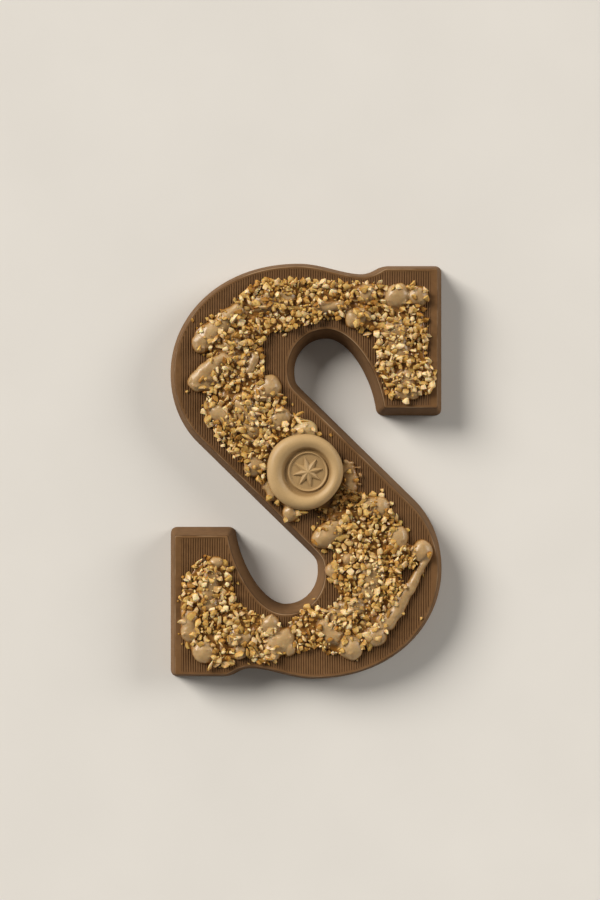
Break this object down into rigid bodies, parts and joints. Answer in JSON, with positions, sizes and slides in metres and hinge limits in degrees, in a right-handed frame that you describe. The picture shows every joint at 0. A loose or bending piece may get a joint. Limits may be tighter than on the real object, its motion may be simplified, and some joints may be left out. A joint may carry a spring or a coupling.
{
  "type": "chocolate letter",
  "caption": "Slab letter S in milk chocolate with a finely ribbed face, blond chocolate and chopped nut toppings, and a round embossed seal.",
  "frame": {"origin": "centre of the letter's bounding box, on its flat back", "axes": "+Y up the letter, +X to the letter's right, +Z out of the ribbed face"},
  "size_m": [0.1112, 0.1702, 0.021],
  "materials": {
    "milk_chocolate": "satin milk chocolate",
    "blond_chocolate": "smooth set blond chocolate",
    "seal_chocolate": "satin moulded blond chocolate",
    "hazelnut": "chopped roasted nut"
  },
  "bodies": {
    "root": {"letter": "milk_chocolate", "topping": "blond_chocolate", "seal": "seal_chocolate"}
  },
  "joints": []
}
